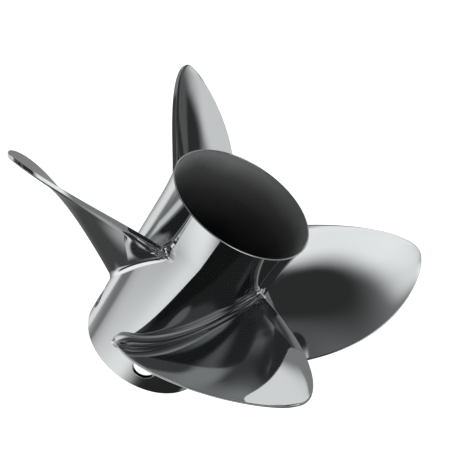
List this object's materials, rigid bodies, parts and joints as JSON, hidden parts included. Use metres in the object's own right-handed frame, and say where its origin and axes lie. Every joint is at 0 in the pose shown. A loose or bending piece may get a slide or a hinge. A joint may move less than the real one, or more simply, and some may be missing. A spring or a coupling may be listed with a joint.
{
  "type": "outboard boat propeller, through-hub exhaust, stainless steel, right-hand",
  "caption": "Ship propeller: broad raked and cupped blades round a hollow exhaust barrel with a flared aft rim, vent holes, ribs and a rubber-bushed splined sleeve.",
  "frame": {"origin": "centre of the front rim's plane, on the shaft axis", "axes": "+Z along the shaft axis toward aft, with the vent holes on +X, +Y, -X and -Y"},
  "size_m": [0.3806, 0.3806, 0.1889],
  "materials": {
    "polished_stainless": "mirror polished stainless steel",
    "cast_stainless": "as cast and blasted",
    "black_rubber": "moulded",
    "bronze": "machined"
  },
  "bodies": {
    "root": {"exhaust_barrel": "polished_stainless", "diffuser_ring": "polished_stainless", "blade_1": "polished_stainless", "blade_2": "polished_stainless", "blade_3": "polished_stainless", "blade_4": "polished_stainless", "inner_hub": "cast_stainless", "hub_rib_1": "cast_stainless", "hub_rib_2": "cast_stainless", "hub_rib_3": "cast_stainless", "hub_rib_4": "cast_stainless", "rubber_bush": "black_rubber", "splined_sleeve": "bronze"}
  },
  "joints": []
}
